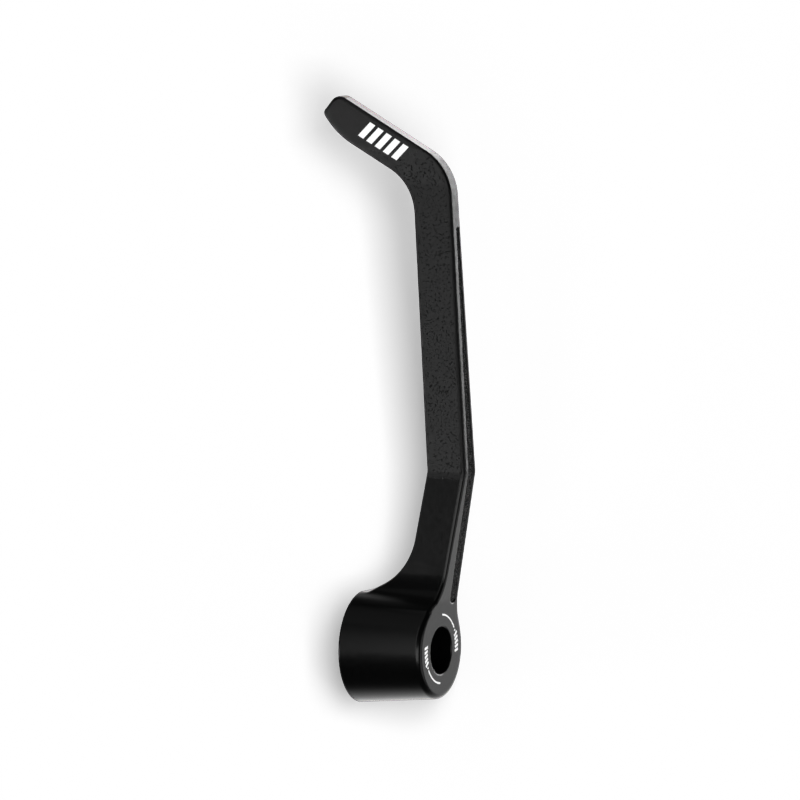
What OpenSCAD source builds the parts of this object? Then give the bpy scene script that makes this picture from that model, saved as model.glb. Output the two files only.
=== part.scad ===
// Bar-end brake lever guard, in millimetres.
// X is the handlebar axis, with +X outward. The arm rises along +Z, and Y is its thickness.
// The origin is on the bar axis, in the plane where the spacer meets the end of the handlebar.

/* [Collar] */
// Length of the collar along the handlebar axis
collar_len = 24.8; // [22:0.2:28]
// Outer diameter of the collar at its back, beside the handlebar
collar_back_d = 31.6; // [30:0.2:34]
// Outer diameter of the collar at its outer face
collar_front_d = 27.4; // [26:0.2:29.6]
// Diameter of the recess for the bolt head
recess_d = 13.5; // [13.5:0.1:16]
// Thickness of the collar's inner web, which the bolt clamps
web_len = 4.5; // [3.5:0.5:5]

/* [Arm] */
// Height of the knee, where the arm stops leaning outward
knee_z = 50.3; // [45:0.5:55]
// Height of the elbow, where the tip turns inward
elbow_z = 136.9; // [120:0.1:145]
// Outward lean of the lower arm in degrees
lower_lean = 9; // [6:0.5:11]
// Inward lean of the upper arm in degrees
upper_lean = 4.05; // [2:0.25:6]
// Width of the arm along X
arm_w = 11.8; // [10:0.2:13]
// Where the arm's flat far side lies, from the bar axis
far_y = 10.2; // [9.6:0.1:11]

/* [Tip] */
// Length of the tip's outer edge, from the elbow to the sharp corner
tip_len = 40.6; // [34:0.1:42]
// Angle of the tip from vertical, in degrees
tip_angle = 61; // [52:1:66]
// Width of the tip across its edges
tip_w = 10.2; // [9.5:0.1:12]
// Thickness of the tip along Y
tip_t = 4.6; // [4:0.1:5.5]

/* [Groove] */
// Depth of the groove in the arm's outer edge
groove_depth = 1; // [0.5:0.1:1.5]
// Width of the groove below the knee
groove_w = 3.4; // [2.5:0.1:4]
// Width of the groove at its square top end
groove_top_w = 1.4; // [1.2:0.1:2.2]
// Height of the groove's top end
groove_top_z = 119.3; // [100:0.5:120]

/* [Hardware] */
// Diameter of the spacer's flange, which the collar turns on
flange_d = 22; // [20:0.5:22.5]
// Thickness of the spacer's flange
flange_len = 5; // [4.4:0.2:5]
// Diameter of the spigot that enters the handlebar
spigot_d = 15.6; // [14:0.2:17]
// Length of the spigot
spigot_len = 2.4; // [2.2:0.2:3]
// Length of the clamp bolt under its head
bolt_len = 20; // [18:1:21]
// Outer diameter of the steel sleeve in the collar's web
sleeve_d = 10; // [9.6:0.2:10]

/* [Prints] */
// Thickness of the white printed marks
ink_t = 0.05; // [0.04:0.01:0.1]
// Radius of the ring of marks on the collar's outer face
ring_r = 9.7; // [9.2:0.1:9.8]
// Width of the ring's thin arcs
arc_w = 0.5; // [0.3:0.05:0.6]

/* [Hidden] */
$fn = 96;
arc_step = 7.5;
over = 1;

// Running clearances, all radial
flange_clearance = 0.075;
seal_clearance = 0.025;
end_gap = 0.05;
loose_gap = 0.3;

// Planes across the collar, from the handlebar outward
back_x = 0.1;
thrust_t = 1;
web_in_x = flange_len + thrust_t;
web_out_x = web_in_x + web_len;
outer_friction_t = 0.8;
plain_t = 1.6;
lock_t = 1.6;
plain_x = web_out_x + outer_friction_t;
lock_x = plain_x + plain_t;
head_x = lock_x + lock_t;

// Hardware sizes. The bolt's shank is reduced, so that only its threaded end has the full diameter.
shank_r = 2.65;
thread_r = 2.95;
head_r = 5.25;
head_len = 3.3;
key_w = 4;
key_depth = 2.2;
bolt_chamfer = 0.5;
thread_gap = 0.2;
spacer_bore_r = 3.3;
sleeve_bore_r = 3.2;
plain_in_r = 3.2;
plain_out_r = 6;
lock_in_r = 3.1;
lock_out_r = 5.5;
lock_split = 0.8;
thrust_out_r = 10.4;
spigot_ring_r = 0.55;
spigot_ring_x = -1.2;
flange_ring_r = 0.6;
flange_ring_x = 2.6;
groove_slack = 0.05;
edge_break = 0.3;

// Edge rounds of the collar
back_round = 0.25;
front_round = 1.5;

// Arm seen along Y, as X and Z points. Its inner side is the outer side moved inward.
up = [0, 1];
lower_dir = [tan(lower_lean), 1];
upper_dir = [-tan(upper_lean), 1];
tip_dir = [-sin(tip_angle), cos(tip_angle)];
tip_normal = [-cos(tip_angle), -sin(tip_angle)];
foot = [collar_len, collar_front_d / 2];
knee = foot + (knee_z - foot.y) * lower_dir;
elbow = knee + (elbow_z - knee.y) * upper_dir;
tip = elbow + tip_len * tip_dir;
heel_cut_angle = 51;
heel_cut_len = 7.1;
heel = tip - heel_cut_len * [cos(heel_cut_angle), sin(heel_cut_angle)];
inner_tip_point = elbow + tip_w * tip_normal;
inner_knee = meet(foot - [arm_w, 0], lower_dir, knee - [arm_w, 0], upper_dir);
inner_elbow = meet(inner_knee, upper_dir, inner_tip_point, tip_dir);
belly = inner_tip_point + 35.3 * tip_dir;
flare_end = [back_x, 14.6];
flare_dir = [1, 0.52];
flare_corner = meet(inner_knee, lower_dir, flare_end, flare_dir);
flare_round = 18.5;
elbow_round = 15.4;

// Arm seen along X, as Y and Z points
tip_near_y = far_y - tip_t;
knee_near_y = far_y - 7;
neck_near_y = 0.2;
neck_z = 16.2;
neck_round = 10.5;
neck_angle = 31.6;
neck_start = collar_front_d / 2 * [-sin(neck_angle), cos(neck_angle)];
upper_flat_z = 132;

// Groove in the arm's outer edge
groove_far_y = far_y - 1;
groove_low_z = 12.9;
groove_end_round = 1.65;

// Ring of marks. Angles are from +Z towards +Y, and each mark is repeated half a turn round.
ring_rise = 0.45;
arc_from = 4;
arc_to = 57;
dot_angle = 62;
dot_r = 0.35;
bar_angles = [69, 76, 83, 90, 97];
bar_len = 2;
bar_w = 0.75;
bar_slant = 20;

// Slanted bars on the tip, placed along the tip's own direction
tip_mark_bars = 5;
tip_mark_pitch = 3;
tip_mark_bar_w = 1.9;
tip_mark_h = 5.2;
tip_mark_slant = 1.5;
tip_mark_from_elbow = 13.6;
tip_mark_inset = 1.8;

function unit(v) = v / norm(v);
function cross_z(a, b) = a.x * b.y - a.y * b.x;
function meet(p, u, q, v) = p + u * cross_z(q - p, v) / cross_z(u, v);
function short_turn(a) = a > 180 ? a - 360 : a < -180 ? a + 360 : a;

// One corner of an outline as an arc of radius r, or the bare corner where r is 0
function corner(before, at, after, r) =
    r == 0 ? [at] :
    let (
        u = unit(before - at),
        v = unit(after - at),
        half = acos(u * v) / 2,
        centre = at + unit(u + v) * r / sin(half),
        first = at + u * r / tan(half) - centre,
        last = at + v * r / tan(half) - centre,
        start = atan2(first.y, first.x),
        sweep = short_turn(atan2(last.y, last.x) - start),
        steps = ceil(abs(sweep) / arc_step)
    )
    [for (i = [0 : steps]) centre + r * [cos(start + sweep * i / steps), sin(start + sweep * i / steps)]];

// Outline from [point, radius] pairs
function rounded(corners) =
    let (n = len(corners))
    [for (i = [0 : n - 1])
        each corner(corners[(i + n - 1) % n][0], corners[i][0], corners[(i + 1) % n][0], corners[i][1])];

// Turns a solid made along +Z so that it lies along +X, and moves it to x
module along_x(x = 0) {
    translate([x, 0, 0]) rotate([0, 90, 0]) children();
}

module rod(r, from, to) {
    along_x(from) cylinder(r = r, h = to - from);
}

module tube(out_r, in_r, from, to) {
    difference() {
        rod(out_r, from, to);
        rod(in_r, from - over, to + over);
    }
}

module o_ring(middle_r, section_r, x) {
    along_x(x) rotate_extrude() translate([middle_r, 0]) circle(r = section_r, $fn = 24);
}

// Extrudes an X and Z outline along Y
module side_profile(points, from_y, to_y) {
    translate([0, to_y, 0]) rotate([90, 0, 0]) linear_extrude(to_y - from_y) polygon(points);
}

// Extrudes a Y and Z outline along X
module front_profile(points, from_x, to_x) {
    translate([from_x, 0, 0]) rotate([90, 0, 90]) linear_extrude(to_x - from_x) polygon(points);
}

module collar_body() {
    along_x() rotate_extrude() polygon(rounded([
        [[0, back_x], 0],
        [[collar_back_d / 2, back_x], back_round],
        [[collar_front_d / 2, collar_len], front_round],
        [[0, collar_len], 0]
    ]));
}

module arm_side() {
    side_profile(rounded([
        [[collar_len, 0], 0],
        [foot, 8],
        [knee, 6],
        [elbow, elbow_round],
        [tip, 3.2],
        [heel, 1.6],
        [belly, 24],
        [inner_elbow, elbow_round],
        [inner_knee, 6],
        [flare_corner, flare_round],
        [flare_end, 0],
        [[flare_end.x, 0], 0]
    ]), -collar_back_d / 2, far_y);
}

module arm_front() {
    front_profile(rounded([
        [[0, 0], 0],
        [[far_y, 0], 0],
        [[far_y, tip.y + over], 0],
        [[tip_near_y, tip.y + over], 0],
        [[tip_near_y, upper_flat_z], 0],
        [[knee_near_y, knee_z], 0],
        [[neck_near_y, neck_z], neck_round],
        [neck_start, 0]
    ]), heel.x - over, knee.x + over);
}

module groove_cut() {
    band_in = [groove_depth, 0];
    band_out = [3, 0];
    below = foot - 6 * up;
    above = elbow - 10 * up;
    intersection() {
        side_profile([
            below - band_in, foot - band_in, knee - band_in, above - band_in,
            above + band_out, knee + band_out, foot + band_out, below + band_out
        ], knee_near_y, far_y);
        front_profile(rounded([
            [[groove_far_y - groove_w, groove_low_z], groove_end_round],
            [[groove_far_y, groove_low_z], groove_end_round],
            [[groove_far_y, groove_top_z], 0],
            [[groove_far_y - groove_top_w, groove_top_z], 0],
            [[groove_far_y - groove_w, knee_z], 0]
        ]), collar_len - 2 * groove_depth, knee.x + 2 * over);
    }
}

module guard_moulding() {
    color([0.08, 0.08, 0.085]) difference() {
        union() {
            collar_body();
            intersection() {
                arm_side();
                arm_front();
            }
        }
        groove_cut();
        rod(flange_d / 2 + flange_clearance, back_x - over, web_in_x);
        rod(sleeve_d / 2, web_in_x - over, web_out_x + over);
        rod(recess_d / 2, web_out_x, collar_len + over);
    }
}

module sleeve_bush() {
    color([0.62, 0.63, 0.65]) tube(sleeve_d / 2, sleeve_bore_r, flange_len + end_gap, plain_x - end_gap);
}

module twice_round() {
    for (turn = [0, 180]) translate([0, 0, ring_rise]) rotate([turn, 0, 0]) children();
}

module ring_place(angle) {
    rotate([-angle, 0, 0]) translate([collar_len, 0, ring_r]) children();
}

module collar_print_arcs() {
    color("white") twice_round() along_x(collar_len) rotate([0, 0, 180 - arc_to])
        rotate_extrude(angle = arc_to - arc_from) translate([ring_r - arc_w / 2, 0]) square([arc_w, ink_t]);
}

module collar_print_bars() {
    color("white") twice_round() for (angle = bar_angles)
        ring_place(angle) rotate([bar_slant, 0, 0]) translate([0, -bar_w / 2, -bar_len / 2])
            cube([ink_t, bar_w, bar_len]);
}

module collar_print_dots() {
    color("white") twice_round() ring_place(dot_angle) along_x() cylinder(r = dot_r, h = ink_t, $fn = 24);
}

module tip_print() {
    base = elbow + tip_mark_from_elbow * tip_dir + tip_mark_inset * tip_normal;
    slant = tip_mark_slant * tip_dir;
    drop = tip_mark_h * tip_normal;
    color("white") for (i = [0 : tip_mark_bars - 1]) {
        start = base + i * tip_mark_pitch * tip_dir;
        end = start + tip_mark_bar_w * tip_dir;
        side_profile([start, end, end + slant + drop, start + slant + drop], tip_near_y - ink_t, tip_near_y);
    }
}

module bar_end_spacer() {
    color([0.72, 0.73, 0.75]) difference() {
        along_x() rotate_extrude() polygon([
            [0, -spigot_len],
            [spigot_d / 2 - edge_break, -spigot_len],
            [spigot_d / 2, edge_break - spigot_len],
            [spigot_d / 2, 0],
            [flange_d / 2 - edge_break, 0],
            [flange_d / 2, edge_break],
            [flange_d / 2, flange_len - edge_break],
            [flange_d / 2 - edge_break, flange_len],
            [0, flange_len]
        ]);
        rod(spacer_bore_r, -spigot_len - over, flange_len + over);
        ring_groove(spigot_d / 2, spigot_ring_r, spigot_ring_x);
        ring_groove(flange_d / 2, flange_ring_r, flange_ring_x);
    }
}

// Square groove for an O-ring, cut into a round face of radius face_r
module ring_groove(face_r, section_r, x) {
    half_w = section_r + groove_slack;
    tube(face_r + over, face_r - 2 * section_r - groove_slack, x - half_w, x + half_w);
}

module spigot_o_ring() {
    color([0.05, 0.05, 0.05]) o_ring(spigot_d / 2 - spigot_ring_r, spigot_ring_r, spigot_ring_x);
}

module collar_o_ring() {
    wall_r = flange_d / 2 + flange_clearance - seal_clearance;
    color([0.05, 0.05, 0.05]) o_ring(wall_r - flange_ring_r, flange_ring_r, flange_ring_x);
}

module inner_friction_washer() {
    color([0.9, 0.89, 0.84]) tube(thrust_out_r, sleeve_d / 2 + loose_gap, flange_len, web_in_x);
}

module outer_friction_washer() {
    color([0.9, 0.89, 0.84]) tube(recess_d / 2 - loose_gap, sleeve_d / 2 + loose_gap, web_out_x, plain_x);
}

module plain_washer() {
    color([0.75, 0.76, 0.78]) tube(plain_out_r, plain_in_r, plain_x, lock_x);
}

module lock_washer() {
    color([0.3, 0.3, 0.31]) difference() {
        tube(lock_out_r, lock_in_r, lock_x, head_x);
        translate([lock_x - over, -lock_split / 2, 0]) cube([lock_t + 2 * over, lock_split, lock_out_r + over]);
    }
}

module clamp_bolt() {
    tip_x = head_x - bolt_len;
    crown_r = head_r - 2;
    color([0.1, 0.1, 0.11]) difference() {
        along_x() rotate_extrude() polygon([
            [0, tip_x],
            [thread_r - bolt_chamfer, tip_x],
            [thread_r, tip_x + bolt_chamfer],
            [thread_r, -spigot_len - thread_gap],
            [shank_r, -spigot_len - thread_gap],
            [shank_r, head_x],
            [head_r, head_x],
            [head_r, head_x + 1],
            [head_r - 0.6, head_x + 2.2],
            [crown_r, head_x + head_len],
            [0, head_x + head_len]
        ]);
        along_x(head_x + head_len - key_depth) cylinder(d = key_w / cos(30), h = key_depth + over, $fn = 6);
    }
}

guard_moulding();
sleeve_bush();
collar_print_arcs();
collar_print_bars();
collar_print_dots();
tip_print();
bar_end_spacer();
spigot_o_ring();
collar_o_ring();
inner_friction_washer();
outer_friction_washer();
plain_washer();
lock_washer();
clamp_bolt();
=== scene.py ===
"""Bar-end brake lever guard: looks, studio and camera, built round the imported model."""
import math

import bmesh
import bpy
import numpy as np
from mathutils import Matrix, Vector


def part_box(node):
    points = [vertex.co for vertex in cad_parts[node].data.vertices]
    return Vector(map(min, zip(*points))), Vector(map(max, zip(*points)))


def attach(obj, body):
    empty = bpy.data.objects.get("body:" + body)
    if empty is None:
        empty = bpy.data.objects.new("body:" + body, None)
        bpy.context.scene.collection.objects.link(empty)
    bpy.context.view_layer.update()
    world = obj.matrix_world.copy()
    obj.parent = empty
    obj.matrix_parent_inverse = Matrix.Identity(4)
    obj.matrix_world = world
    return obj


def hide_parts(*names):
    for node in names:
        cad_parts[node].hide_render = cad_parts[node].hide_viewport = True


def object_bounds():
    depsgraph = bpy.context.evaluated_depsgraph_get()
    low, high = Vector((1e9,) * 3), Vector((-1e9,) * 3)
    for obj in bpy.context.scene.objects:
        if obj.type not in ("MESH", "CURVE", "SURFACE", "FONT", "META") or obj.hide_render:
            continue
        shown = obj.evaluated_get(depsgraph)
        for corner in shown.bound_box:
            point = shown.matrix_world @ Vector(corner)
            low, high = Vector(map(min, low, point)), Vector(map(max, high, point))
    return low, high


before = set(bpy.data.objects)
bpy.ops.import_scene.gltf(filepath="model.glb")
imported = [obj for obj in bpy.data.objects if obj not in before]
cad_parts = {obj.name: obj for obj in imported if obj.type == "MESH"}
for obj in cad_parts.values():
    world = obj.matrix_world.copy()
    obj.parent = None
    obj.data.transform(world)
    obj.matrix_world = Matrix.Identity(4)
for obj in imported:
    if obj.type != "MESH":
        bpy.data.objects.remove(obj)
cad_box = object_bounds()

MM = 0.001
INK_NODES = ("collar_print_arcs", "collar_print_bars", "collar_print_dots", "tip_print")


def cad_mm(node):
    """Lowest and highest corner of a CAD node, in millimetres."""
    low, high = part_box(node)
    return low / MM, high / MM


GUARD_LOW, GUARD_HIGH = cad_mm("guard_moulding")
BOLT_LOW, BOLT_HIGH = cad_mm("clamp_bolt")
LOCK_LOW, LOCK_HIGH = cad_mm("lock_washer")

# Camera, as azimuth and elevation in degrees, and what it frames, in metres
VIEW_AZIMUTH = 26.4
VIEW_ELEVATION = 5.2
VIEW_DISTANCE = 3.0
FRAME_WIDTH = 0.2264
FRAME_SHIFT = (0.00362, 0.00051)
SENSOR_WIDTH = 36.0

# Where the studio glows brightest: low and to the left, behind the guard
GLOW_AXIS = (-0.45, 0.85, -0.27)
GLOW_STRENGTH = 3.0

# Collar, in millimetres. Its marks lie on its outer face
COLLAR_END = cad_mm("collar_print_arcs")[0].x
COLLAR_BACK = 0.1
COLLAR_BACK_R = -GUARD_LOW.z
COLLAR_FRONT_R = 13.7
BACK_ROUND = 0.25
HOLE_ROUND = 0.3
RECESS_R = 6.75
RECESS_X = 10.5
WEB_R = 5.0
WEB_X = 6.0
SOCKET_R = 11.075

# Edges of the collar and the arm, in millimetres: the fine round, and the wide one at five heights
EDGE_BREAK = 0.4
WIDE_ROUND_Z = (8, 20, 50, 116, 140)
WIDE_ROUND = (1.5, 1.0, 1.25, 0.85, 0.7)
FLARE_EDGE_ROUND = 2.2
NEAR_FILLET = 1.6
FAR_FILLET = 5.0

# Arm seen along Y, as X and Z, in millimetres
ARM_WIDTH = 11.8
KNEE_Z = 50.3
ELBOW_Z = 136.9
LOWER_LEAN = math.radians(9)
UPPER_LEAN = math.radians(4.05)
TIP_ANGLE = math.radians(61)
TIP_LENGTH = 40.6
TIP_WIDTH = 10.2
HEEL_CUT_ANGLE = math.radians(51)
HEEL_CUT = 7.1
BELLY_FROM_ELBOW = 35.3
FLARE_SLOPE = 0.52
FLARE_FOOT_Z = 14.6
FLARE_FOOT = 2.2
FOOT_ROUND = 8.0
KNEE_ROUND = 6.0
ELBOW_ROUND = 15.4
TIP_ROUND = 3.2
HEEL_ROUND = 1.6
BELLY_ROUND = 24.0
FLARE_ROUND = 18.5
FLARE_FOOT_ROUND = 2.0

# Arm seen along X, as Y and Z, in millimetres
FAR_Y = 10.2
TIP_NEAR_Y = cad_mm("tip_print")[1].y
KNEE_NEAR_Y = 3.2
NECK_NEAR_Y = 0.2
NECK_Z = 16.2
NECK_ROUND = 10.5
NECK_ANGLE = math.radians(31.6)
UPPER_FLAT_Z = 132.0
NEAR_KNEE_ROUND = 3.0
NEAR_BEND_ROUND = 40.0

# Groove in the arm's outer edge, in millimetres. Its own finish, with pale specks painted in as highlights,
# lies between two depths
GROOVE_DEPTH = 1.0
GROOVE_WIDTH = 3.4
GROOVE_TOP_WIDTH = 1.4
GROOVE_FAR_Y = FAR_Y - 1.0
GROOVE_LOW_Z = 12.9
GROOVE_TOP_Z = 119.3
GROOVE_END_ROUND = 1.65
GROOVE_RIM = 0.28
GROOVE_GRIT = 0.07
GROOVE_FINISH = (0.35, 1.3)

# Mesh of the moulding, in millimetres
MESH_STEP = 0.34
SLOPE_STEP = 0.04
CHORD_ANGLE = math.radians(4)

# Well clear of the guard, for outlines that are open on one side, in millimetres
OUTSIDE = 40.0


# ---------------------------------------------------------------- outlines

def unit(v):
    return v / np.hypot(*v)


def meet(p, u, q, v):
    """Where the line from p along u crosses the line from q along v."""
    cross = u[0] * v[1] - u[1] * v[0]
    gap = q - p
    return p + u * (gap[0] * v[1] - gap[1] * v[0]) / cross


def rounded(corners):
    """Lines, arcs and a fine chord outline from (point, radius) corners."""
    count = len(corners)
    arcs = []
    ends = []
    chords = []
    for i, (at, radius) in enumerate(corners):
        at = np.array(at, float)
        u = unit(np.array(corners[i - 1][0], float) - at)
        v = unit(np.array(corners[(i + 1) % count][0], float) - at)
        if radius == 0:
            ends.append((at, at))
            chords.append(at)
            continue
        half = math.acos(np.clip(u @ v, -1, 1)) / 2
        centre = at + unit(u + v) * radius / math.sin(half)
        first = at + u * radius / math.tan(half)
        last = at + v * radius / math.tan(half)
        start = math.atan2(*(first - centre)[::-1])
        sweep = math.atan2(*(last - centre)[::-1]) - start
        sweep = (sweep + math.pi) % (2 * math.pi) - math.pi
        steps = max(2, math.ceil(abs(sweep) / CHORD_ANGLE))
        for angle in start + sweep * np.linspace(0, 1, steps + 1):
            chords.append(centre + radius * np.array([math.cos(angle), math.sin(angle)]))
        arcs.append((centre, radius, unit(at - centre), math.cos(sweep / 2)))
        ends.append((first, last))
    lines = [(ends[i - 1][1], ends[i][0]) for i in range(count)]
    return lines, arcs, np.array(chords)


def line_distance_squared(a, b, u, v):
    """Squared distance from points (u, v) to the line from a to b."""
    along = b - a
    share = ((u - a[0]) * along[0] + (v - a[1]) * along[1]) / max(along @ along, 1e-12)
    share = np.clip(share, 0, 1)
    return (u - a[0] - share * along[0]) ** 2 + (v - a[1] - share * along[1]) ** 2


def outline_distance(outline, u, v):
    """Distance from points (u, v) to an outline, negative inside it."""
    lines, arcs, chords = outline
    best = np.inf
    for a, b in lines:
        best = np.minimum(best, line_distance_squared(a, b, u, v))
    best = np.sqrt(best)
    for centre, radius, middle, reach in arcs:
        du = u - centre[0]
        dv = v - centre[1]
        far = np.hypot(du, dv)
        beside = du * middle[0] + dv * middle[1] >= reach * far
        best = np.where(beside, np.minimum(best, abs(far - radius)), best)
    inside = np.zeros(best.shape, bool)
    for a, b in zip(chords, np.roll(chords, -1, axis=0)):
        if a[1] != b[1]:
            level = (a[1] > v) != (b[1] > v)
            inside ^= level & (u < (b[0] - a[0]) * (v - a[1]) / (b[1] - a[1]) + a[0])
    return np.where(inside, -best, best)


def arm_points():
    """The arm's corner points in X and Z, by name."""
    lower = np.array([math.tan(LOWER_LEAN), 1.0])
    upper = np.array([-math.tan(UPPER_LEAN), 1.0])
    along_tip = np.array([-math.sin(TIP_ANGLE), math.cos(TIP_ANGLE)])
    across_tip = np.array([-math.cos(TIP_ANGLE), -math.sin(TIP_ANGLE)])
    across_arm = np.array([ARM_WIDTH, 0.0])
    foot = np.array([COLLAR_END, COLLAR_FRONT_R])
    knee = foot + (KNEE_Z - foot[1]) * lower
    elbow = knee + (ELBOW_Z - KNEE_Z) * upper
    tip = elbow + TIP_LENGTH * along_tip
    heel = tip - HEEL_CUT * np.array([math.cos(HEEL_CUT_ANGLE), math.sin(HEEL_CUT_ANGLE)])
    under_elbow = elbow + TIP_WIDTH * across_tip
    belly = under_elbow + BELLY_FROM_ELBOW * along_tip
    inner_knee = meet(foot - across_arm, lower, knee - across_arm, upper)
    inner_elbow = meet(inner_knee, upper, under_elbow, along_tip)
    flare_end = np.array([COLLAR_BACK, FLARE_FOOT_Z])
    flare_along = np.array([1.0, FLARE_SLOPE])
    flare_corner = meet(inner_knee, lower, flare_end, flare_along)
    flare_foot = flare_end + FLARE_FOOT * flare_along
    return dict(
        foot=foot, knee=knee, elbow=elbow, tip=tip, heel=heel, belly=belly, along_tip=along_tip,
        inner_elbow=inner_elbow, inner_knee=inner_knee, flare_corner=flare_corner, flare_foot=flare_foot
    )


ARM = arm_points()

# The collar and the arm seen along Y
SIDE = rounded([
    ((COLLAR_END, -OUTSIDE), 0),
    (ARM["foot"], FOOT_ROUND),
    (ARM["knee"], KNEE_ROUND),
    (ARM["elbow"], ELBOW_ROUND),
    (ARM["tip"], TIP_ROUND),
    (ARM["heel"], HEEL_ROUND),
    (ARM["belly"], BELLY_ROUND),
    (ARM["inner_elbow"], ELBOW_ROUND),
    (ARM["inner_knee"], KNEE_ROUND),
    (ARM["flare_corner"], FLARE_ROUND),
    (ARM["flare_foot"], FLARE_FOOT_ROUND),
    ((-OUTSIDE, COLLAR_BACK_R + 0.2), 0),
    ((-OUTSIDE, -OUTSIDE), 0)
])

# Everything inward of the outer edge, which the groove's depth is measured from
OUTER = rounded([
    ((COLLAR_END, -OUTSIDE), 0),
    (ARM["foot"], FOOT_ROUND),
    (ARM["knee"], KNEE_ROUND),
    (ARM["elbow"], ELBOW_ROUND),
    (ARM["tip"] + OUTSIDE * ARM["along_tip"], 0),
    ((-2 * OUTSIDE, -OUTSIDE), 0)
])

# The arm seen along X, down into the collar
FRONT = rounded([
    ((0, 0), 0),
    ((FAR_Y, 0), 0),
    ((FAR_Y, 2 * ELBOW_Z), 0),
    ((TIP_NEAR_Y, 2 * ELBOW_Z), 0),
    ((TIP_NEAR_Y, UPPER_FLAT_Z), NEAR_BEND_ROUND),
    ((KNEE_NEAR_Y, KNEE_Z), NEAR_KNEE_ROUND),
    ((NECK_NEAR_Y, NECK_Z), NECK_ROUND),
    ((-COLLAR_FRONT_R * math.sin(NECK_ANGLE), COLLAR_FRONT_R * math.cos(NECK_ANGLE)), 0)
])

# The groove's opening seen along X
GROOVE = rounded([
    ((GROOVE_FAR_Y - GROOVE_WIDTH, GROOVE_LOW_Z), GROOVE_END_ROUND),
    ((GROOVE_FAR_Y, GROOVE_LOW_Z), GROOVE_END_ROUND),
    ((GROOVE_FAR_Y, GROOVE_TOP_Z), 0),
    ((GROOVE_FAR_Y - GROOVE_TOP_WIDTH, GROOVE_TOP_Z), 0),
    ((GROOVE_FAR_Y - GROOVE_WIDTH, KNEE_Z), 0)
])


# ---------------------------------------------------------------- the moulding as one field

def ramp(value, start, end):
    """0 before start, 1 after end, and smooth between."""
    share = np.clip((value - start) / (end - start), 0, 1)
    return share * share * (3 - 2 * share)


def smooth_join(a, b, width):
    """Both solids, with a fillet about half of width where they meet."""
    share = np.maximum(width - abs(a - b), 0) / width
    return np.minimum(a, b) - share * share * width / 4


def round_meet(a, b, radius):
    """What lies in both solids, with edges rounded to radius."""
    over = np.hypot(np.maximum(a + radius, 0), np.maximum(b + radius, 0))
    return np.minimum(np.maximum(a, b), -radius) + over


def edge_radius(x, y, z):
    """The moulding's edge round: wide on the collar's front and the arm's near outer edge, else fine.

    The far edge of the flare over the collar is rounder still.
    """
    wide = np.interp(z, WIDE_ROUND_Z, WIDE_ROUND)
    outer_half = ramp(outline_distance(OUTER, x, z), -0.6 * ARM_WIDTH, -0.4 * ARM_WIDTH)
    near_side = 1 - ramp(y, FAR_Y - 2.3, FAR_Y - 1.7)
    on_collar = 1 - ramp(z, 9, 14)
    along = EDGE_BREAK + (wide - EDGE_BREAK) * np.maximum(on_collar, outer_half * near_side)
    far_flare_edge = ramp(y, 2, 7) * ramp(-x, -14, -5) * ramp(-z, -30, -18)
    return along + FLARE_EDGE_ROUND * far_flare_edge


def grit(y, z):
    """A fine fixed roughness of the groove's floor, from -1 to 1."""
    first = np.sin(7.1 * y + 1.7 * np.sin(5.3 * z)) * np.sin(6.7 * z + 1.3 * np.sin(4.9 * y))
    second = np.sin(12.9 * z + 3.1 * y) * np.sin(11.3 * y - 2.3 * z + 0.7)
    return 0.6 * first + 0.4 * second


def holes(x, radius):
    """The collar's stepped hole: recess, web bore and the socket for the flange."""
    recess = round_meet(radius - RECESS_R, RECESS_X - x, HOLE_ROUND)
    web = radius - WEB_R
    socket = round_meet(radius - SOCKET_R, x - WEB_X, HOLE_ROUND)
    return np.minimum(np.minimum(recess, web), socket)


def groove(x, y, z):
    """The groove in the arm's outer edge, with its gritty floor."""
    window = outline_distance(GROOVE, y, z)
    floor = -GROOVE_DEPTH - outline_distance(OUTER, x, z)
    return round_meet(window, floor + GROOVE_GRIT * grit(y, z), GROOVE_RIM)


def moulding(x, y, z):
    """Distance to the guard's surface, negative in the plastic, in millimetres."""
    radius = np.hypot(y, z)
    taper = (COLLAR_BACK_R - COLLAR_FRONT_R) / (COLLAR_END - COLLAR_BACK)
    cone = (radius - COLLAR_BACK_R + taper * (x - COLLAR_BACK)) / math.hypot(1, taper)
    arm = outline_distance(FRONT, y, z)
    fillet = NEAR_FILLET + (FAR_FILLET - NEAR_FILLET) * ramp(y, 3, 9)
    body = smooth_join(cone, arm, fillet)
    body = round_meet(body, outline_distance(SIDE, x, z), edge_radius(x, y, z))
    # The back face ends the collar alone, because the tip reaches further back
    behind = COLLAR_BACK - x - OUTSIDE * ramp(z, 30, 60)
    body = round_meet(body, behind, BACK_ROUND)
    body = round_meet(body, -holes(x, radius), HOLE_ROUND)
    return round_meet(body, -groove(x, y, z), GROOVE_RIM)


# ---------------------------------------------------------------- field to mesh

def crossing_points(values, cells):
    """The middle of each cell's edge crossings, in cell units."""
    total = np.zeros((len(cells), 3))
    count = np.zeros(len(cells))
    for axis in range(3):
        for side in range(4):
            offset = np.zeros(3, int)
            offset[(axis + 1) % 3] = side % 2
            offset[(axis + 2) % 3] = side // 2
            start = cells + offset
            step = np.eye(3, dtype=int)[axis]
            a = values[tuple(start.T)]
            b = values[tuple((start + step).T)]
            cross = (a < 0) != (b < 0)
            share = np.where(cross, a / np.where(a == b, 1, a - b), 0)
            total += cross[:, None] * (offset + share[:, None] * step)
            count += cross
    return cells + total / count[:, None]


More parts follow.
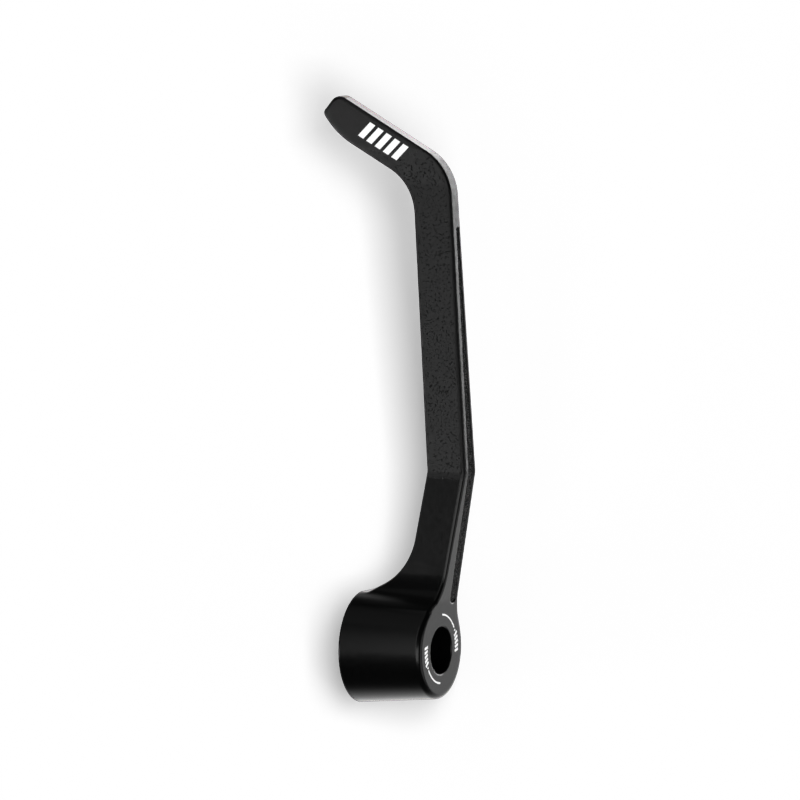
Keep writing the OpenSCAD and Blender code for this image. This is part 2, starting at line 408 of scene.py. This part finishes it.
def surface_faces(inside, index):
    """One quad round every grid edge that crosses the surface."""
    faces = []
    for axis in range(3):
        step, across, up = np.roll(np.eye(3, dtype=int), -axis, axis=0)
        low = inside[tuple(slice(0, -1) if k == axis else slice(1, -1) for k in range(3))]
        high = inside[tuple(slice(1, None) if k == axis else slice(1, -1) for k in range(3))]
        nodes = np.argwhere(low != high) + across + up
        corners = [nodes - across - up, nodes - up, nodes, nodes - across]
        quads = np.stack([index[tuple(c.T)] for c in corners], axis=1)
        outward = inside[tuple(nodes.T)]
        quads[~outward] = quads[~outward][:, ::-1]
        faces.append(quads)
    return np.concatenate(faces)


def surface_net(field, low, high, step):
    """Points and quads on the surface of a field within a box."""
    axes = [np.arange(a - 1.5 * step, b + 2.5 * step, step) for a, b in zip(low, high)]
    x, y, z = np.meshgrid(*axes, indexing="ij", sparse=True)
    values = np.ascontiguousarray(field(x, y, z), dtype=np.float32)
    inside = values < 0
    corners = sum(
        inside[i:i - 1 or None, j:j - 1 or None, k:k - 1 or None].astype(np.uint8)
        for i in (0, 1) for j in (0, 1) for k in (0, 1)
    )
    active = (corners > 0) & (corners < 8)
    cells = np.argwhere(active)
    index = np.full(active.shape, -1, np.int32)
    index[active] = np.arange(len(cells))
    points = crossing_points(values, cells) * step + [a[0] for a in axes]
    return points, surface_faces(inside, index)


def slopes(field, points):
    """The field's gradient at each point."""
    columns = []
    for shift in np.eye(3) * SLOPE_STEP:
        rise = field(*(points + shift).T) - field(*(points - shift).T)
        columns.append(rise / (2 * SLOPE_STEP))
    return np.stack(columns, axis=1)


def settle(field, points, rounds=3, reach=0.15):
    """Moves points onto the field's surface, and gives the surface's normals there."""
    for _ in range(rounds):
        slope = slopes(field, points)
        steep = np.maximum((slope ** 2).sum(axis=1), 0.05)
        shift = slope * (field(*points.T) / steep)[:, None]
        length = np.maximum(np.linalg.norm(shift, axis=1), 1e-9)
        points = points - shift * np.minimum(1, reach / length)[:, None]
    slope = slopes(field, points)
    return points, slope / np.maximum(np.linalg.norm(slope, axis=1), 1e-9)[:, None]


# ---------------------------------------------------------------- meshes

def add_mesh(name, points_mm, faces, materials, normals=None):
    """A smooth mesh object from points in millimetres."""
    mesh = bpy.data.meshes.new(name)
    mesh.from_pydata((points_mm * MM).tolist(), [], faces)
    mesh.polygons.foreach_set("use_smooth", [True] * len(mesh.polygons))
    for material in materials:
        mesh.materials.append(material)
    if normals is not None:
        mesh.normals_split_custom_set_from_vertices(normals.tolist())
    piece = bpy.data.objects.new(name, mesh)
    bpy.context.scene.collection.objects.link(piece)
    return piece


def guard_shell(skin, grooved):
    """The whole moulding, with the groove's floor in its own rougher finish, which has pale specks painted
    in as highlights.
    """
    points, faces = surface_net(moulding, GUARD_LOW, GUARD_HIGH, MESH_STEP)
    points, normals = settle(moulding, points)
    points = np.clip(points, GUARD_LOW, GUARD_HIGH)
    piece = add_mesh("guard_shell", points, faces.tolist(), [skin, grooved], normals)
    middle = points[faces].mean(axis=1)
    depth = -outline_distance(OUTER, middle[:, 0], middle[:, 2])
    window = outline_distance(GROOVE, middle[:, 1], middle[:, 2])
    low, high = GROOVE_FINISH
    in_floor = (depth > low) & (depth < high) & (window < 0.1)
    piece.data.polygons.foreach_set("material_index", in_floor.astype(np.int32))
    put(piece, "guard", "guard_moulding")


def lathe(xs, radii, angles):
    """Points and quads of a turned piece round X. radii has a row for each x and a column for each angle."""
    rows, columns = radii.shape
    xs = np.repeat(np.array(xs)[:, None], columns, axis=1)
    points = np.stack([xs, radii * np.sin(angles), radii * np.cos(angles)], axis=-1)
    faces = []
    for i in range(rows - 1):
        for j in range(columns):
            k = (j + 1) % columns
            faces.append((i * columns + j, (i + 1) * columns + j, (i + 1) * columns + k, i * columns + k))
    return points.reshape(-1, 3), faces


def put(piece, body, node):
    """Lets a piece ride on a body in place of a CAD node."""
    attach(piece, body)
    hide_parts(node)


def thread_rings(angles, start, end, root_r, thread_r, pitch=1.0, step=0.07):
    """Rings of a helical thread that runs in over its first half millimetre."""
    rings = []
    for x in np.arange(start, end, step):
        turn = ((x - start) / pitch - angles / (2 * math.pi)) % 1
        ridge = np.clip(1.25 - 2.9 * abs(turn - 0.5), 0, 1)
        run_in = min(1, (x - start) / 0.5)
        rings.append((x, root_r - 0.3 * (1 - run_in) + run_in * (thread_r - root_r) * ridge))
    return rings


def bolt_rings(angles):
    """Rings of the bolt, as x and radii, from its threaded end to the bottom of its key socket."""
    shank_r = 2.65
    thread_r = 2.95
    root_r = 2.45
    head_r = 5.25
    head_len = 3.3
    rim_len = 0.7
    crown_r = head_r - 2
    key_half = 2.0
    key_depth = 2.2
    neck = 0.3
    round_ring = 0.0 * angles
    end_x = BOLT_LOW.x
    thread_x = cad_mm("bar_end_spacer")[0].x - 0.2
    top_x = BOLT_HIGH.x
    key_x = top_x - key_depth
    under_x = top_x - head_len
    hexagon = key_half / np.cos((angles + math.pi / 6) % (math.pi / 3) - math.pi / 6)
    entry_r = key_half / math.cos(math.pi / 6) + 0.12

    rings = [(end_x, round_ring), (end_x, round_ring + root_r - 0.35)]
    rings += thread_rings(angles, end_x, thread_x, root_r, thread_r)
    for x, r in ((thread_x, root_r), (thread_x + 0.2, shank_r), (under_x - neck, shank_r)):
        rings.append((x, round_ring + r))
    for share in np.linspace(0, 1, 5):
        rings.append((under_x - neck + neck * share, round_ring + shank_r + neck * share ** 2))
    for rise, inset in ((0, 0.25), (0.08, 0.07), (0.25, 0), (rim_len, 0)):
        rings.append((under_x + rise, round_ring + head_r - inset))
    for bend in np.radians(np.linspace(8, 90, 12)):
        x = under_x + rim_len + (head_len - rim_len) * math.sin(bend)
        rings.append((x, round_ring + crown_r + (head_r - crown_r) * math.cos(bend)))
    rings.append((top_x, round_ring + entry_r + 0.05))
    rings.append((top_x - 0.05, round_ring + entry_r))
    for x in (top_x - 0.32, top_x - 0.4, key_x + 0.1):
        rings.append((x, hexagon))
    rings.append((key_x, hexagon - 0.08))
    rings.append((key_x - 0.5, round_ring + 0.2))
    rings.append((key_x - 0.55, round_ring))
    return rings


def button_bolt(material):
    """M6 button head bolt with a rolled helical thread and a six-sided key socket."""
    angles = np.linspace(0, 2 * math.pi, 144, endpoint=False)
    rings = bolt_rings(angles)
    points, faces = lathe([x for x, _ in rings], np.array([r for _, r in rings]), angles)
    piece = add_mesh("button_bolt", points, faces, [material])
    mend(piece)
    put(piece, "bolt", "clamp_bolt")


def mend(piece, sharp=math.radians(35)):
    """Merges points that coincide, turns faces outward and keeps sharp edges crisp."""
    work = bmesh.new()
    work.from_mesh(piece.data)
    bmesh.ops.remove_doubles(work, verts=work.verts, dist=1e-6)
    bmesh.ops.recalc_face_normals(work, faces=work.faces)
    for edge in work.edges:
        if len(edge.link_faces) == 2 and edge.calc_face_angle(0) > sharp:
            edge.smooth = False
    work.to_mesh(piece.data)
    work.free()


def split_washer(material):
    """Split spring washer: a rounded square section swept round, with slanted cut ends."""
    inner = 3.1
    outer = 5.5
    split = 0.8
    slant = 0.5
    corner = 0.22
    low_x = LOCK_LOW.x
    high_x = LOCK_HIGH.x
    corners = ((low_x, inner), (high_x, inner), (high_x, outer), (low_x, outer))
    section = rounded([(at, corner) for at in corners])[2]
    middle_r = (inner + outer) / 2
    middle_x = (low_x + high_x) / 2
    half_gap = split / 2 / middle_r
    turns = np.linspace(half_gap, 2 * math.pi - half_gap, 97)
    rows = []
    for turn in turns:
        near_end = 1 - min(turn - turns[0], turns[-1] - turn) / math.pi
        x, radius = section.T
        angle = turn + slant * near_end / middle_r * (x - middle_x)
        rows.append(np.stack([x, radius * np.sin(angle), radius * np.cos(angle)], axis=1))
    points = np.concatenate(rows)
    size = len(section)
    faces = []
    for i in range(len(turns) - 1):
        for j in range(size):
            k = (j + 1) % size
            faces.append((i * size + j, i * size + k, (i + 1) * size + k, (i + 1) * size + j))
    faces.append(range(size))
    faces.append(range(len(points) - size, len(points)))
    washer = add_mesh("split_washer", points, faces, [material])
    mend(washer)
    put(washer, "washers", "lock_washer")


# ---------------------------------------------------------------- materials

class Look:
    """A material with its shader, its object coordinates and short ways to add nodes.

    colour and roughness are the plain ones, before any texture varies them.
    """

    def __init__(self, name, colour, roughness, metallic=0.0):
        self.material = bpy.data.materials.new(name)
        self.material.use_nodes = True
        self.tree = self.material.node_tree
        self.shader = self.tree.nodes["Principled BSDF"]
        self.shader.inputs["Base Color"].default_value = (*colour, 1)
        self.shader.inputs["Roughness"].default_value = roughness
        self.shader.inputs["Metallic"].default_value = metallic
        self.place = self.tree.nodes.new("ShaderNodeTexCoord").outputs["Object"]

    def node(self, kind, **settings):
        made = self.tree.nodes.new(kind)
        for key, value in settings.items():
            setattr(made, key, value)
        return made

    def link(self, start, end):
        self.tree.links.new(start, end)

    def noise(self, size_mm, detail=2.0, rough=0.5):
        """Soft noise whose blobs are about size_mm across."""
        made = self.node("ShaderNodeTexNoise")
        made.inputs["Scale"].default_value = 1 / (size_mm * MM)
        made.inputs["Detail"].default_value = detail
        made.inputs["Roughness"].default_value = rough
        self.link(self.place, made.inputs["Vector"])
        return made.outputs["Fac"]

    def spread(self, value, low, high, start=0.3, end=0.7):
        """Maps a noise from start..end to low..high."""
        made = self.node("ShaderNodeMapRange")
        made.inputs["From Min"].default_value = start
        made.inputs["From Max"].default_value = end
        made.inputs["To Min"].default_value = low
        made.inputs["To Max"].default_value = high
        self.link(value, made.inputs["Value"])
        return made.outputs["Result"]

    def maths(self, operation, a, b):
        """A sum or product of two values, each a socket or a number."""
        made = self.node("ShaderNodeMath", operation=operation)
        for socket, value in zip(made.inputs, (a, b)):
            if isinstance(value, (int, float)):
                socket.default_value = value
            else:
                self.link(value, socket)
        return made.outputs["Value"]

    def height(self):
        """The object coordinate along Z, in metres."""
        made = self.node("ShaderNodeSeparateXYZ")
        self.link(self.place, made.inputs["Vector"])
        return made.outputs["Z"]

    def tint(self, value, dark, light):
        """Base colour between two colours by a value from 0 to 1."""
        made = self.node("ShaderNodeValToRGB")
        made.color_ramp.elements[0].color = (*dark, 1)
        made.color_ramp.elements[1].color = (*light, 1)
        self.link(value, made.inputs["Fac"])
        self.link(made.outputs["Color"], self.shader.inputs["Base Color"])

    def roughen(self, value):
        self.link(value, self.shader.inputs["Roughness"])

    def bump(self, value, depth_mm):
        made = self.node("ShaderNodeBump")
        made.inputs["Distance"].default_value = depth_mm * MM
        self.link(value, made.inputs["Height"])
        self.link(made.outputs["Normal"], self.shader.inputs["Normal"])

    def see_through_from_behind(self):
        """Only the front of each face shows."""
        mix = self.node("ShaderNodeMixShader")
        self.link(self.node("ShaderNodeNewGeometry").outputs["Backfacing"], mix.inputs["Fac"])
        self.link(self.shader.outputs["BSDF"], mix.inputs[1])
        self.link(self.node("ShaderNodeBsdfTransparent").outputs["BSDF"], mix.inputs[2])
        self.link(mix.outputs["Shader"], self.tree.nodes["Material Output"].inputs["Surface"])


def nylon_look():
    """Black moulded nylon: grained and satin on the upper arm, smooth and glossier elsewhere."""
    look = Look("nylon_black", (0.003, 0.0032, 0.0032), 0.4)
    above_knee = look.spread(look.height(), 0, 1, (KNEE_Z - 2.0) * MM, (KNEE_Z - 0.8) * MM)
    below_tip = look.spread(look.height(), 1, 0, (ELBOW_Z + 1) * MM, (ELBOW_Z + 5) * MM)
    grained = look.maths("MULTIPLY", above_knee, below_tip)
    grain = look.spread(look.noise(0.6, 4.0, 0.75), 0, 1, 0.57, 0.72)
    fine = look.noise(0.22, 1.0)
    both = look.maths("ADD", look.maths("MULTIPLY", grain, grained), look.maths("MULTIPLY", fine, 0.03))
    look.bump(both, 0.09)
    satin = look.maths("MULTIPLY", look.spread(look.noise(2.2, 3.0), 0.08, 0.2), grained)
    look.roughen(look.maths("ADD", satin, look.spread(look.noise(1.3), 0.21, 0.25)))
    look.tint(look.spread(look.noise(0.7), 0, 1), (0.002, 0.0022, 0.0022), (0.005, 0.0053, 0.0053))
    return look.material


def groove_look():
    """The groove's floor, coarse and dry, with pale grey specks painted into its black colour as highlights.
    """
    look = Look("nylon_groove", (0.12, 0.12, 0.12), 0.7)
    grit_and_painted_glints = look.noise(0.4, 2.0, 0.75)
    look.bump(grit_and_painted_glints, 0.25)
    # Painted highlights: the pale grey specks in the base colour stand in for glints on a floor that is
    # black
    look.tint(look.spread(grit_and_painted_glints, 0, 1, 0.45, 0.62), (0.003, 0.003, 0.003), (0.42, 0.42, 0.42))
    look.roughen(look.spread(look.noise(0.3), 0.35, 0.6))
    return look.material


def ink_look():
    """White pad-printed ink with a faint uneven edge to its gloss."""
    look = Look("ink_white", (0.9, 0.9, 0.9), 0.5)
    cover = look.noise(0.5)
    look.tint(look.spread(cover, 0, 1), (0.84, 0.84, 0.84), (0.93, 0.93, 0.93))
    look.roughen(look.spread(cover, 0.42, 0.58))
    look.bump(look.noise(0.15), 0.004)
    return look.material


def turned_look(name, colour, roughness, ring_mm, depth_mm, metallic=1.0):
    """Turned metal or plastic with fine rings round X and a little uneven wear."""
    look = Look(name, colour, roughness, metallic)
    rings = look.node("ShaderNodeTexWave", wave_type="RINGS", rings_direction="X", wave_profile="SAW")
    rings.inputs["Scale"].default_value = 1 / (20 * ring_mm * MM)
    rings.inputs["Distortion"].default_value = 0.4
    look.link(look.place, rings.inputs["Vector"])
    look.bump(rings.outputs["Fac"], depth_mm)
    wear = look.noise(1.6, 3.0)
    look.roughen(look.spread(wear, roughness * 0.8, roughness * 1.25))
    worn = tuple(c * 0.86 for c in colour)
    bright = tuple(min(1, c * 1.08) for c in colour)
    look.tint(look.spread(wear, 0, 1), worn, bright)
    return look.material


def rubber_look():
    """Black seal rubber with a faint grey bloom."""
    look = Look("seal_rubber", (0.018, 0.018, 0.018), 0.6)
    bloom = look.noise(0.8, 3.0)
    look.tint(look.spread(bloom, 0, 1), (0.012, 0.012, 0.012), (0.03, 0.03, 0.031))
    look.roughen(look.spread(bloom, 0.5, 0.7))
    look.bump(look.noise(0.12), 0.006)
    return look.material


def zinc_look():
    """Bright zinc plate with a faint bluish and yellowish variation."""
    look = Look("zinc_steel", (0.68, 0.7, 0.72), 0.3, 1.0)
    plate = look.noise(1.2, 3.0)
    look.tint(look.spread(plate, 0, 1), (0.62, 0.66, 0.7), (0.76, 0.75, 0.7))
    look.roughen(look.spread(look.noise(0.4), 0.22, 0.38))
    look.bump(look.noise(0.3, 3.0), 0.006)
    return look.material


def dark_steel_look(name, dark, light, roughness):
    """Black oxide or phosphate on steel: mottled and slightly crystalline."""
    look = Look(name, dark, roughness, 0.75)
    mottle = look.noise(0.5, 4.0, 0.6)
    look.tint(look.spread(mottle, 0, 1), dark, light)
    look.roughen(look.spread(mottle, roughness * 0.85, roughness * 1.2))
    look.bump(look.noise(0.12, 2.0), 0.005)
    return look.material


def dress(node, material):
    """Gives a CAD node its finished material."""
    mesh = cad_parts[node].data
    mesh.materials.clear()
    mesh.materials.append(material)


def dress_all():
    """Finishes for the CAD pieces that show as they are."""
    ink = ink_look()
    for node in INK_NODES:
        dress(node, ink)
    dress("sleeve_bush", turned_look("sleeve_steel", (0.55, 0.56, 0.57), 0.32, 0.12, 0.004))
    dress("bar_end_spacer", turned_look("spacer_aluminium", (0.74, 0.75, 0.76), 0.34, 0.2, 0.006))
    acetal = turned_look("acetal_natural", (0.85, 0.84, 0.79), 0.42, 0.3, 0.004, 0.0)
    dress("inner_friction_washer", acetal)
    dress("outer_friction_washer", acetal)
    dress("plain_washer", zinc_look())
    rubber = rubber_look()
    dress("spigot_o_ring", rubber)
    dress("collar_o_ring", rubber)


# ---------------------------------------------------------------- camera, light and floor

def direction(azimuth, elevation):
    """Unit vector at an azimuth, from -Y towards +X, and an elevation, both in degrees."""
    a = math.radians(azimuth)
    e = math.radians(elevation)
    return Vector((math.sin(a) * math.cos(e), -math.cos(a) * math.cos(e), math.sin(e)))


def camera_axes():
    """Unit vectors to the right, up and back towards the camera."""
    right = direction(VIEW_AZIMUTH + 90, 0)
    back = direction(VIEW_AZIMUTH, VIEW_ELEVATION)
    return right, back.cross(right), back


def aim(thing, place, at):
    """Adds a camera or a light at a place, looking at a point."""
    thing.location = place
    thing.rotation_mode = "QUATERNION"
    thing.rotation_quaternion = (at - place).to_track_quat("-Z", "Y")
    bpy.context.scene.collection.objects.link(thing)


def box_centre(box):
    return (box[0] + box[1]) / 2


def add_camera():
    right, up, back = camera_axes()
    data = bpy.data.cameras.new("camera")
    data.sensor_width = SENSOR_WIDTH
    data.lens = SENSOR_WIDTH * VIEW_DISTANCE / FRAME_WIDTH
    camera = bpy.data.objects.new("camera", data)
    at = box_centre(cad_box) + FRAME_SHIFT[0] * right + FRAME_SHIFT[1] * up
    aim(camera, at + VIEW_DISTANCE * back, at)
    bpy.context.scene.camera = camera


def add_softbox(name, at, azimuth, elevation, distance, size, radiance):
    """A rectangular light. Azimuth is to the right of the camera, and both angles are in degrees."""
    towards = direction(VIEW_AZIMUTH + azimuth, elevation)
    data = bpy.data.lights.new(name, "AREA")
    data.shape = "RECTANGLE"
    data.size, data.size_y = size
    data.energy = radiance * math.pi * size[0] * size[1]
    light = bpy.data.objects.new(name, data)
    aim(light, at + distance * towards, at)
    return light


def add_world():
    """White to the camera; for lighting, a glow behind the guard and a dark room before it."""
    world = bpy.data.worlds.new("studio")
    bpy.context.scene.world = world
    world.use_nodes = True
    nodes = world.node_tree.nodes
    link = world.node_tree.links.new
    nodes.clear()
    place = nodes.new("ShaderNodeTexCoord").outputs["Generated"]
    facing = nodes.new("ShaderNodeVectorMath")
    facing.operation = "DOT_PRODUCT"
    facing.inputs[1].default_value = Vector(GLOW_AXIS).normalized()
    link(place, facing.inputs[0])
    table = nodes.new("ShaderNodeMapRange")
    table.inputs["From Min"].default_value = -1
    table.inputs["From Max"].default_value = 1
    link(facing.outputs["Value"], table.inputs["Value"])
    glow = nodes.new("ShaderNodeValToRGB")
    stops = (
        (0.0, 0.003), (0.5, 0.005), (0.65, 0.01), (0.72, 0.03), (0.79, 0.13), (0.82, 0.19),
        (0.86, 0.25), (0.93, 0.37), (0.99, 0.5)
    )
    ramp_stops = glow.color_ramp.elements
    while len(ramp_stops) < len(stops):
        ramp_stops.new(0.5)
    for stop, (position, level) in zip(ramp_stops, stops):
        stop.position = position
        stop.color = (level, level, level, 1)
    link(table.outputs["Result"], glow.inputs["Fac"])
    room = nodes.new("ShaderNodeBackground")
    room.inputs["Strength"].default_value = GLOW_STRENGTH
    link(glow.outputs["Color"], room.inputs["Color"])
    white = nodes.new("ShaderNodeBackground")
    white.inputs["Color"].default_value = (1, 1, 1, 1)
    choose = nodes.new("ShaderNodeMixShader")
    link(nodes.new("ShaderNodeLightPath").outputs["Is Camera Ray"], choose.inputs["Fac"])
    link(room.outputs["Background"], choose.inputs[1])
    link(white.outputs["Background"], choose.inputs[2])
    link(choose.outputs["Shader"], nodes.new("ShaderNodeOutputWorld").inputs["Surface"])


def add_floor(gap=0.033, reach=0.4, turn=math.radians(8), lean=math.radians(7)):
    """The pale surface behind the guard. It only shows the guard's soft shadow.

    It is close to the collar and falls away towards the tip and to the right.
    """
    right, up, back = camera_axes()
    centre = box_centre(cad_box) - gap * back
    across = (right - math.tan(turn) * back).normalized()
    along = (up - math.tan(lean) * back).normalized()
    signs = ((-1, -1), (1, -1), (1, 1), (-1, 1))
    corners = [centre + reach * (i * across + j * along) for i, j in signs]
    mesh = bpy.data.meshes.new("floor")
    mesh.from_pydata(corners, [], [(0, 1, 2, 3)])
    floor = bpy.data.objects.new("floor", mesh)
    bpy.context.scene.collection.objects.link(floor)
    look = Look("floor_pale", (0.9, 0.9, 0.9), 0.9)
    look.tint(look.spread(look.noise(40), 0, 1), (0.9, 0.9, 0.9), (0.92, 0.92, 0.92))
    look.see_through_from_behind()
    mesh.materials.append(look.material)
    floor.is_shadow_catcher = True
    floor.visible_glossy = False
    floor.visible_diffuse = False
    return floor


def only_for(light, pieces):
    """Lets a light fall on these pieces alone."""
    lit = bpy.data.collections.new(f"lit_by_{light.name}")
    for piece in pieces:
        lit.objects.link(piece)
    light.light_linking.receiver_collection = lit


def add_lights(floor):
    """Softboxes for the guard, one for its white marks alone, and two for the floor alone."""
    arm_middle = Vector((0.020, 0.004, 0.090))
    collar_middle = Vector((0.014, -0.010, 0.0))
    elbow = Vector((0.010, 0.004, 0.145))
    middle = box_centre(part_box("guard_moulding"))
    add_softbox("arm_softbox", arm_middle, -66, -10, 2.5, (0.90, 0.50), 6.2)
    add_softbox("edge_strip", arm_middle, -31, 0, 0.6, (0.05, 0.4), 1.4)
    add_softbox("collar_strip", collar_middle, -37, 25, 0.8, (0.16, 1.0), 0.72)
    add_softbox("collar_glint", collar_middle - Vector((0, 0, 0.03)), 4, 0, 0.3, (0.28, 0.16), 1.5)
    add_softbox("top_softbox", collar_middle, -43, 72, 0.8, (0.6, 0.6), 0.12)
    add_softbox("rim_softbox", elbow, 142, 14, 1.2, (1.0, 0.85), 3.9)
    add_softbox("side_panel", collar_middle, 128, -6, 0.8, (0.3, 0.3), 0.4)
    add_softbox("far_side_fill", arm_middle, 80, -14, 0.9, (0.6, 0.6), 0.6)
    ink_fill = add_softbox("ink_fill", arm_middle, 20, 8, 0.9, (0.5, 0.5), 15.0)
    only_for(ink_fill, [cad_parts[node] for node in INK_NODES])
    shade = add_softbox("shadow_light", middle, 11.3, 6.3, 1.0, (0.38, 0.66), 39.5)
    only_for(shade, [floor])
    wash = add_softbox("floor_wash", middle, 11.3, 6.3, 1.0, (0.38, 0.66), 32.0)
    wash.data.use_shadow = False
    only_for(wash, [floor])


def main():
    add_camera()
    bpy.context.scene.view_settings.view_transform = "Standard"
    add_world()
    add_lights(add_floor())
    guard_shell(nylon_look(), groove_look())
    button_bolt(dark_steel_look("bolt_black", (0.02, 0.02, 0.022), (0.05, 0.05, 0.052), 0.42))
    split_washer(dark_steel_look("spring_steel", (0.12, 0.12, 0.125), (0.24, 0.24, 0.24), 0.45))
    dress_all()


main()
